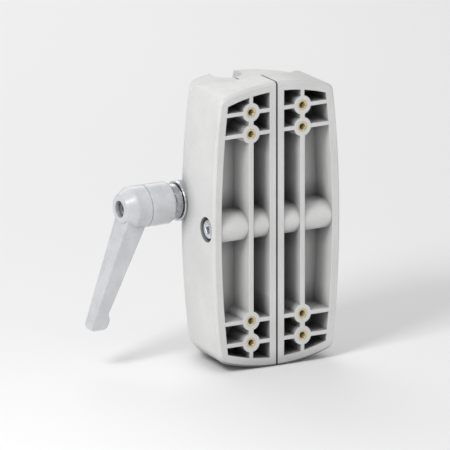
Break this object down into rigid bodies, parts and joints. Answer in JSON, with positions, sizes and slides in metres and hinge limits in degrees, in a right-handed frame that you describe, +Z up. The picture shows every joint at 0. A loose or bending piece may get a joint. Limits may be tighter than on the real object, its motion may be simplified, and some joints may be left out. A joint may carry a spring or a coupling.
{
  "type": "split pole clamp bracket",
  "caption": "Tall split clamp bracket that grips a round pole along its back, tightened by a ratchet lever, with a ribbed front face of screw bosses for an accessory.",
  "frame": {"origin": "on the pole bore's axis, half-way along the bore", "axes": "+Z up the pole, -Y out of the ribbed mounting face, -X out along the lever's stud"},
  "size_m": [0.1237, 0.0595, 0.147],
  "materials": {
    "housing": "fine moulded texture",
    "lever_coat": "satin powder coat on die-cast zinc",
    "zinc_steel": "bright zinc plate",
    "hard_steel": "plain ground steel",
    "spring_steel": "drawn wire",
    "brass": "machined",
    "nylon_ring": "natural nylon"
  },
  "bodies": {
    "right_half": {"right_housing": "housing", "right_inserts": "brass", "front_bolt": "zinc_steel", "front_washer_left": "zinc_steel", "front_washer_right": "zinc_steel", "front_nut": "zinc_steel", "front_nut_ring": "nylon_ring", "guide_pin_upper": "hard_steel", "guide_pin_lower": "hard_steel", "clamp_nut": "zinc_steel", "opening_spring_upper": "spring_steel", "opening_spring_lower": "spring_steel"},
    "left_half": {"left_housing": "housing", "left_inserts": "brass", "stud_bush": "hard_steel", "thrust_washer": "zinc_steel"},
    "stud": {"clamp_stud": "zinc_steel", "toothed_insert": "hard_steel", "retaining_screw": "hard_steel", "lever_spring": "spring_steel"},
    "lever": {"lever_handle": "lever_coat"}
  },
  "joints": [
    {"name": "jaw_opening", "type": "slide", "parent": "right_half", "child": "left_half", "axis": [-1, 0, 0], "range_m": [-0.00016, 0.001], "deforming": ["opening_spring_upper", "opening_spring_lower"]},
    {"name": "lever_turn", "type": "hinge", "parent": "left_half", "child": "stud", "pos_m": [0, -0.013, 0.008], "axis": [-1, 0, 0], "range_deg": [-60, 360]},
    {"name": "lever_lift", "type": "slide", "parent": "stud", "child": "lever", "axis": [-1, 0, 0], "range_m": [0, 0.004], "stiffness_N_per_m": 1500, "springref_m": -0.003, "deforming": ["lever_spring"]}
  ],
  "couplings": [
    {"joint": "lever_turn", "follows": "jaw_opening", "rad_per_m": 6283}
  ]
}
